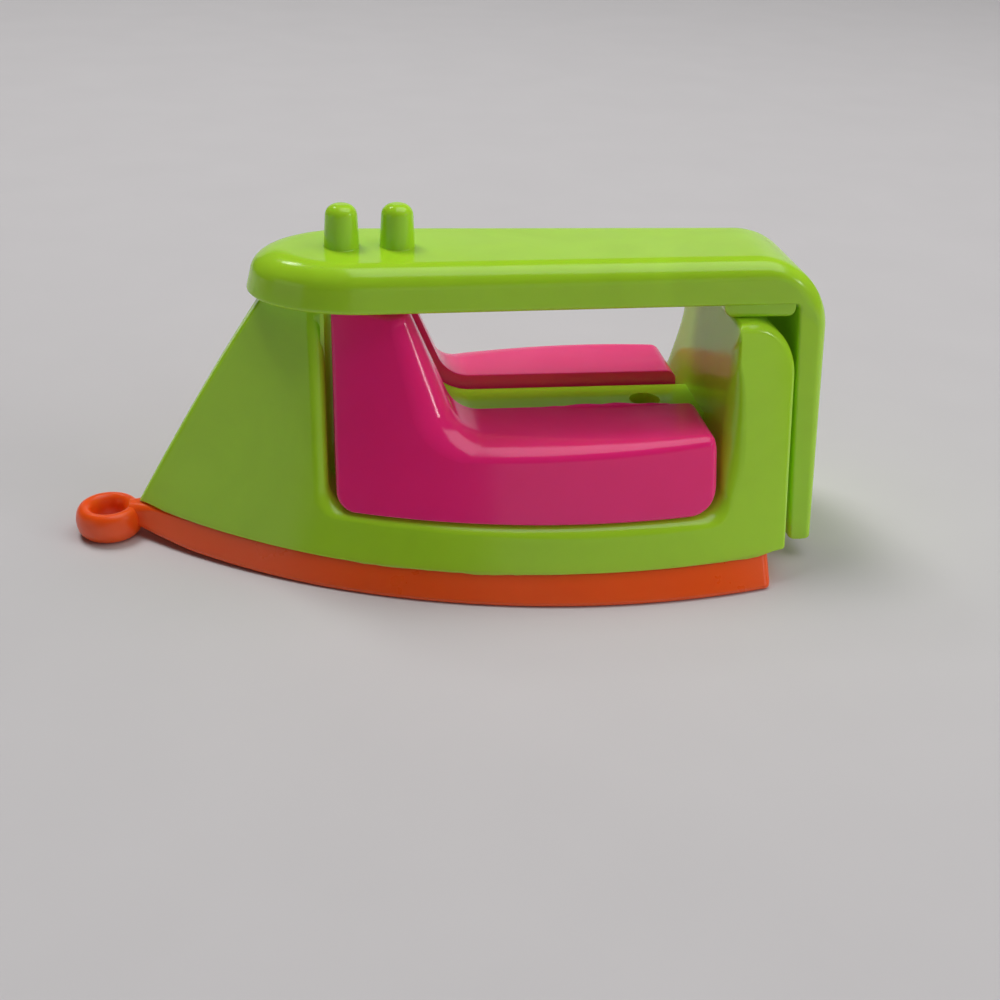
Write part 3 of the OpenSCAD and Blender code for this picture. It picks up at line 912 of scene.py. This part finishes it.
# Polystyrene's index of refraction, the share of light that runs in it and how far its other colours run
STYRENE_IOR = 1.59
INNER_LIGHT = 0.35
PALE_RUN = 0.15
# Darkest and lightest streaks of the plastic and mottle of the card, as shares of their colours
STREAKS = (0.9, 1.08)
MOTTLE = (0.97, 1.03)
CARD_ROUGHNESS = 0.75


def add_node(tree, kind, settings=None, **inputs):
    """Adds a node, sets its settings, and fills or links its inputs, named with _ for a space."""
    node = tree.nodes.new(kind)
    for key, value in (settings or {}).items():
        setattr(node, key, value)
    for key, value in inputs.items():
        socket = node.inputs[int(key[1:])] if key[1:].isdigit() else node.inputs[key.replace("_", " ")]
        if isinstance(value, bpy.types.NodeSocket):
            tree.links.new(value, socket)
        else:
            socket.default_value = value
    return node


def per_mm(size):
    """Texture scale that gives a pattern a size in millimetres."""
    return 1 / (size * MM)


def moulded_polystyrene(name, rgb, painted_glow, glossy, dull, depth):
    """Neon polystyrene, injection moulded.

    To the eye it is glossy and a little translucent, with a soft orange-peel skin, faint flow
    streaks and patches dulled by handling.
    """
    material = bpy.data.materials.new(name)
    material.use_nodes = True
    tree = material.node_tree
    shader = tree.nodes["Principled BSDF"]
    place = add_node(tree, "ShaderNodeTexCoord").outputs["Object"]
    rgb = np.array(rgb)

    # Flow streaks of the pigment, about 9 mm apart, a few percent lighter and darker
    streaks = add_node(tree, "ShaderNodeTexNoise", Vector=place, Scale=per_mm(9), Detail=3.0,
                       Roughness=0.55, Distortion=1.2)
    tint = add_node(tree, "ShaderNodeMix", {"data_type": "RGBA"}, Factor=streaks.outputs["Fac"],
                    _6=(*np.clip(rgb * STREAKS[0], 0, 1), 1), _7=(*np.clip(rgb * STREAKS[1], 0, 1), 1))
    tree.links.new(tint.outputs[2], shader.inputs["Base Color"])

    # Orange peel of the mould's polish, in waves of about 2 mm
    peel = add_node(tree, "ShaderNodeTexNoise", Vector=place, Scale=per_mm(2), Detail=1.0)
    skin = add_node(tree, "ShaderNodeBump", Height=peel.outputs["Fac"], Distance=0.03 * MM, Strength=0.5)
    tree.links.new(skin.outputs["Normal"], shader.inputs["Normal"])

    # Handling dulls the gloss in patches of about 5 mm
    wear = add_node(tree, "ShaderNodeTexNoise", Vector=place, Scale=per_mm(5), Detail=4.0, Roughness=0.6)
    worn = add_node(tree, "ShaderNodeMapRange", Value=wear.outputs["Fac"], From_Min=0.3, From_Max=0.75,
                    To_Min=glossy, To_Max=dull)
    tree.links.new(worn.outputs["Result"], shader.inputs["Roughness"])

    shader.inputs["IOR"].default_value = STYRENE_IOR
    shader.inputs["Subsurface Weight"].default_value = INNER_LIGHT
    shader.inputs["Subsurface Radius"].default_value = tuple(PALE_RUN + (1 - PALE_RUN) * rgb / rgb.max())
    shader.inputs["Subsurface Scale"].default_value = depth
    # Painted glow: the plastic emits its own colour, so it stays bright where no lamp reaches it
    shader.inputs["Emission Color"].default_value = (*rgb, 1)
    shader.inputs["Emission Strength"].default_value = painted_glow
    return material


def matt_card(name, rgb):
    """Matt card under the iron: pale, rough, with a faint mottle."""
    material = bpy.data.materials.new(name)
    material.use_nodes = True
    tree = material.node_tree
    shader = tree.nodes["Principled BSDF"]
    place = add_node(tree, "ShaderNodeTexCoord").outputs["Object"]
    mottle = add_node(tree, "ShaderNodeTexNoise", Vector=place, Scale=per_mm(14), Detail=4.0)
    rgb = np.array(rgb)
    tint = add_node(tree, "ShaderNodeMix", {"data_type": "RGBA"}, Factor=mottle.outputs["Fac"],
                    _6=(*rgb * MOTTLE[0], 1), _7=(*np.clip(rgb * MOTTLE[1], 0, 1), 1))
    tree.links.new(tint.outputs[2], shader.inputs["Base Color"])
    shader.inputs["Roughness"].default_value = CARD_ROUGHNESS
    return material


def plastic(colour_name):
    """The moulded plastic of that colour, made once."""
    name = f"{colour_name}_moulded_polystyrene"
    rgb = getattr(sizes("colours"), colour_name)
    return bpy.data.materials.get(name) or moulded_polystyrene(name, rgb, *NEON[colour_name])


# Stage
LIT_POINT = np.array([5, 0, 10]) * MM
ROOM_LIGHT = 0.03
# Azimuth and elevation in degrees, distance, width and height in metres, power in watts and
# whether the gloss mirrors the light
LIGHTS = {
    "key": (127, 66, 0.6, (0.2, 0.2), 1.72, False),
    "top_softbox": (0, 72, 0.45, (0.4, 0.4), 0.77, True),
    "right_softbox": (10, 20, 0.8, (0.5, 0.5), 1.0, False),
    "front_softbox": (332, 20, 0.8, (0.5, 0.5), 1.3, False),
    "left_band": (205, 9, 0.8, (0.5, 0.26), 0.16, True),
    "right_band": (293, 9, 0.8, (1.0, 0.26), 0.29, True),
    "rear_band": (81, 11, 0.6, (0.84, 0.25), 0.28, True),
    "left_lamp": (122, 50, 0.6, (0.07, 0.07), 0.2, True),
    "right_lamp": (338, 24, 0.6, (0.06, 0.06), 0.14, True),
}


def soft_light(name, azimuth, elevation, distance, size, power, mirrored):
    """An area light that faces the iron.

    One that isn't mirrored lights the gloss without a white patch of its own on it.
    """
    round_z, up_z = np.radians([azimuth, elevation])
    back = np.array([np.cos(up_z) * np.cos(round_z), np.cos(up_z) * np.sin(round_z), np.sin(up_z)])
    place = LIT_POINT + distance * back
    data = bpy.data.lights.new(name, "AREA")
    data.shape = "RECTANGLE"
    data.size, data.size_y = size
    data.energy = power
    lamp = bpy.data.objects.new(name, data)
    bpy.context.scene.collection.objects.link(lamp)
    lamp.visible_glossy = mirrored
    right = unit(np.cross([0, 0, 1], back))
    lamp.matrix_world = placed(right, np.cross(back, right), back, place)


def placed(right, up, back, place):
    """The matrix of an object whose axes point right, up and back."""
    return Matrix([[right[k], up[k], back[k], place[k]] for k in range(3)] + [[0, 0, 0, 1]])


def make_camera():
    """The camera at the photograph's angle: it stands back from a target and leans a little."""
    azimuth, elevation, roll = np.radians([-9.06, 28.24, 2.25])
    target = np.array([5.57, 0, 1.59]) * MM
    distance = 119.06 * MM
    level = np.array([np.sin(azimuth), -np.cos(azimuth), 0])
    back = np.cos(elevation) * level + np.array([0, 0, np.sin(elevation)])
    right = np.array([np.cos(azimuth), np.sin(azimuth), 0])
    up = np.cross(back, right)
    data = bpy.data.cameras.new("camera")
    data.sensor_width = 36
    data.lens = 49.54
    data.clip_start = 5 * MM
    camera = bpy.data.objects.new("camera", data)
    bpy.context.scene.collection.objects.link(camera)
    rolled_right = right * np.cos(roll) + up * np.sin(roll)
    rolled_up = up * np.cos(roll) - right * np.sin(roll)
    camera.matrix_world = placed(rolled_right, rolled_up, back, target + distance * back)
    bpy.context.scene.camera = camera


def make_floor():
    """A flat square of card, a little under the sole so that the two don't share a plane."""
    reach = 1.5
    sunk = 0.02 * MM
    corner = np.array([-reach, reach])
    x, y = np.meshgrid(corner, corner, indexing="ij")
    floor = grid_solid("floor", np.stack([x, y, 0 * x - sunk], axis=2), wrap_columns=False)
    if floor.data.polygons[0].normal.z < 0:
        floor.data.flip_normals()
    floor.data.materials.append(matt_card("floor_matt_card", sizes("colours").floor))


# Operators


class IRON_OT_stage(bpy.types.Operator):
    """Lays the floor, hangs the lights and sets up the camera."""

    bl_idname = "iron.stage"
    bl_label = "Stage"

    def execute(self, context):
        make_camera()
        make_floor()
        for name, light in LIGHTS.items():
            soft_light(name, *light)
        world = bpy.data.worlds.new("room")
        world.use_nodes = True
        room = world.node_tree.nodes["Background"]
        room.inputs["Color"].default_value = (1, 1, 1, 1)
        room.inputs["Strength"].default_value = ROOM_LIGHT
        context.scene.world = world
        context.scene.view_settings.view_transform = "Standard"
        return {"FINISHED"}


class IRON_OT_body(bpy.types.Operator):
    """Builds the lime body."""

    bl_idname = "iron.body"
    bl_label = "Body"

    def execute(self, context):
        finished(make_body(), "body", plastic("lime"), ["body"])
        return {"FINISHED"}


class IRON_OT_sole(bpy.types.Operator):
    """Builds the orange sole plate with its eyelet."""

    bl_idname = "iron.sole"
    bl_label = "Sole plate"

    def execute(self, context):
        finished(make_sole(), "sole_plate", plastic("orange"), ["sole_plate", "eyelet"])
        return {"FINISHED"}


class IRON_OT_panels(bpy.types.Operator):
    """Builds the two pink side panels."""

    bl_idname = "iron.panels"
    bl_label = "Side panels"

    def execute(self, context):
        for node, side in (("left_panel", -1), ("right_panel", 1)):
            finished(make_panel(node + "_moulding", side), node, plastic("pink"), [node])
        return {"FINISHED"}


class IRON_OT_handle(bpy.types.Operator):
    """Builds the lime handle with its buttons and heel plate."""

    bl_idname = "iron.handle"
    bl_label = "Handle"

    def execute(self, context):
        finished(make_handle(), "handle", plastic("lime"), ["handle"])
        return {"FINISHED"}


class IRON_PT_sidebar(bpy.types.Panel):
    """Lists the iron's pieces and their sizes."""

    bl_idname = "IRON_PT_sidebar"
    bl_label = "Toy iron"
    bl_space_type = "VIEW_3D"
    bl_region_type = "UI"
    bl_category = "Toy iron"

    def draw(self, context):
        for step in STEPS:
            self.layout.operator(step.bl_idname)
        for name in GROUPS:
            box = self.layout.box()
            box.label(text=name.title())
            for key in GROUPS[name].__annotations__:
                box.prop(sizes(name), key)


GROUPS = {
    "sides": IronSideSizes,
    "body": IronBodySizes,
    "sole": IronSoleSizes,
    "panels": IronPanelSizes,
    "handle": IronHandleSizes,
    "colours": IronColours,
}
STEPS = (IRON_OT_stage, IRON_OT_body, IRON_OT_sole, IRON_OT_panels, IRON_OT_handle)


def register():
    """Registers the classes and hangs the property groups on the scene."""
    for kind in (*GROUPS.values(), *STEPS, IRON_PT_sidebar):
        bpy.utils.register_class(kind)
    for name, group in GROUPS.items():
        setattr(bpy.types.Scene, "iron_" + name, PointerProperty(type=group))


def unregister():
    """Undoes register."""
    for name in GROUPS:
        delattr(bpy.types.Scene, "iron_" + name)
    for kind in (IRON_PT_sidebar, *STEPS, *GROUPS.values()):
        bpy.utils.unregister_class(kind)


def main():
    register()
    bpy.ops.iron.stage()
    bpy.ops.iron.body()
    bpy.ops.iron.sole()
    bpy.ops.iron.panels()
    bpy.ops.iron.handle()


if __name__ == "__main__":
    main()
